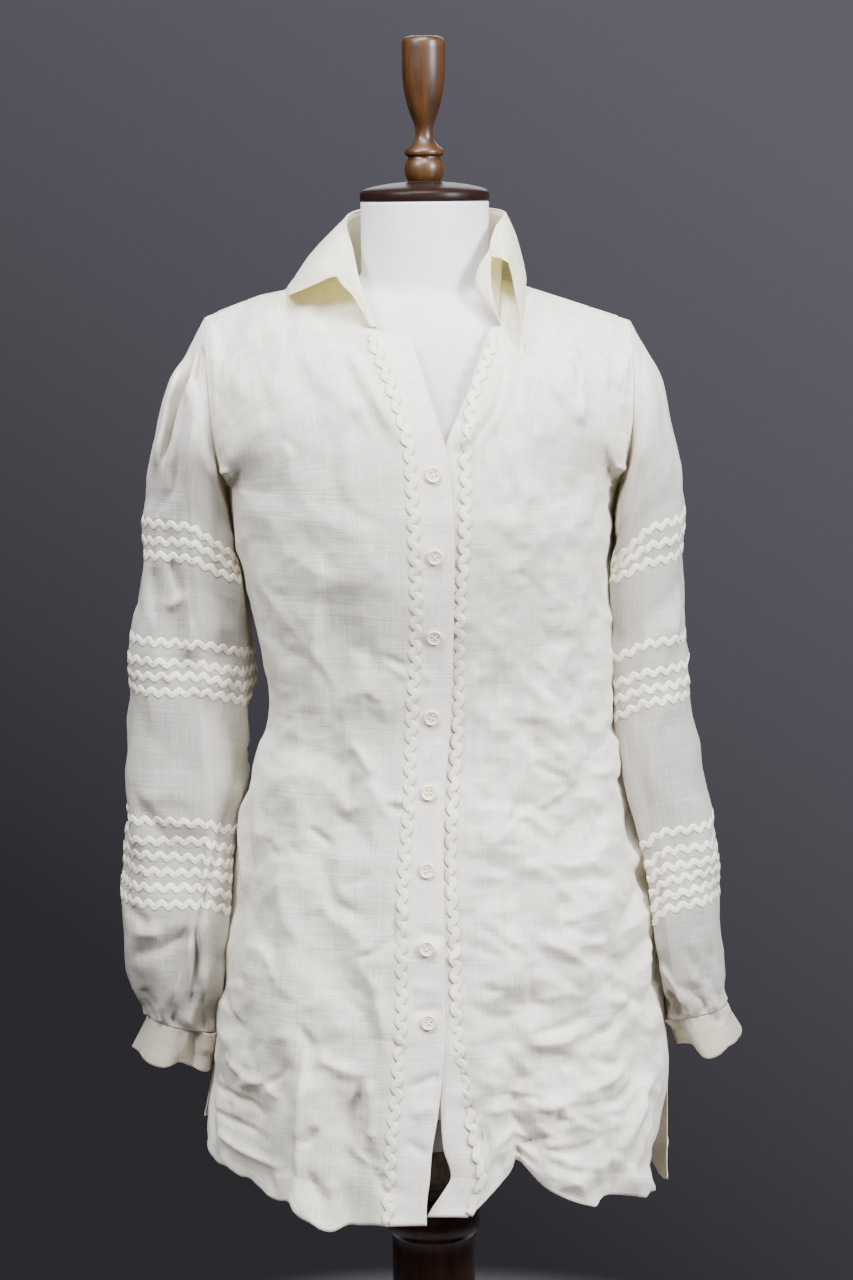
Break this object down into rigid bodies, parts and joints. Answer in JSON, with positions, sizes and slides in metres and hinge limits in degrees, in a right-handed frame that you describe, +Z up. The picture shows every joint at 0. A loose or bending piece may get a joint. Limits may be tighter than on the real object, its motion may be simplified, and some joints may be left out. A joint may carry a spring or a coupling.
{
  "type": "tunic top on a limbless dress form",
  "caption": "Long-sleeved linen tunic top with a collar, buttoned front and rows of wavy braid, worn by a limbless dress form on a turned wooden stand.",
  "frame": {"origin": "centre of the underside of the stand's round foot", "axes": "+X towards the wearer's left, -Y towards the front, +Z up"},
  "size_m": [0.5458, 0.32, 1.228],
  "materials": {
    "linen": "thin undyed plain-woven linen, matt",
    "braid": "cream ric-rac braid",
    "shell_button": "cream, four holes, raised rim",
    "form_cover": "close white jersey cover",
    "turned_wood": "polished red-brown wood",
    "dark_wood": "polished near-black wood",
    "pole_metal": "worn grey-beige paint"
  },
  "bodies": {
    "root": {"back": "linen", "front_right": "linen", "front_left": "linen", "placket_right": "linen", "placket_left": "linen", "collar_stand": "linen", "collar_leaf": "linen", "sleeve_right": "linen", "sleeve_left": "linen", "cuff_right": "linen", "cuff_left": "linen", "braid_front_right": "braid", "braid_front_left": "braid", "braid_sleeve_right_01": "braid", "braid_sleeve_right_02": "braid", "braid_sleeve_right_03": "braid", "braid_sleeve_right_04": "braid", "braid_sleeve_right_05": "braid", "braid_sleeve_right_06": "braid", "braid_sleeve_right_07": "braid", "braid_sleeve_right_08": "braid", "braid_sleeve_right_09": "braid", "braid_sleeve_right_10": "braid", "braid_sleeve_right_11": "braid", "braid_sleeve_right_12": "braid", "braid_sleeve_right_13": "braid", "braid_sleeve_left_01": "braid", "braid_sleeve_left_02": "braid", "braid_sleeve_left_03": "braid", "braid_sleeve_left_04": "braid", "braid_sleeve_left_05": "braid", "braid_sleeve_left_06": "braid", "braid_sleeve_left_07": "braid", "braid_sleeve_left_08": "braid", "braid_sleeve_left_09": "braid", "braid_sleeve_left_10": "braid", "braid_sleeve_left_11": "braid", "braid_sleeve_left_12": "braid", "braid_sleeve_left_13": "braid", "button_front_1": "shell_button", "button_front_2": "shell_button", "button_front_3": "shell_button", "button_front_4": "shell_button", "button_front_5": "shell_button", "button_front_6": "shell_button", "button_front_7": "shell_button", "button_front_8": "shell_button", "button_cuff_right": "shell_button", "button_cuff_left": "shell_button", "form_torso": "form_cover", "neck_cap": "dark_wood", "finial": "turned_wood", "pole": "pole_metal", "pole_foot": "turned_wood", "column": "turned_wood", "foot": "turned_wood"}
  },
  "joints": []
}
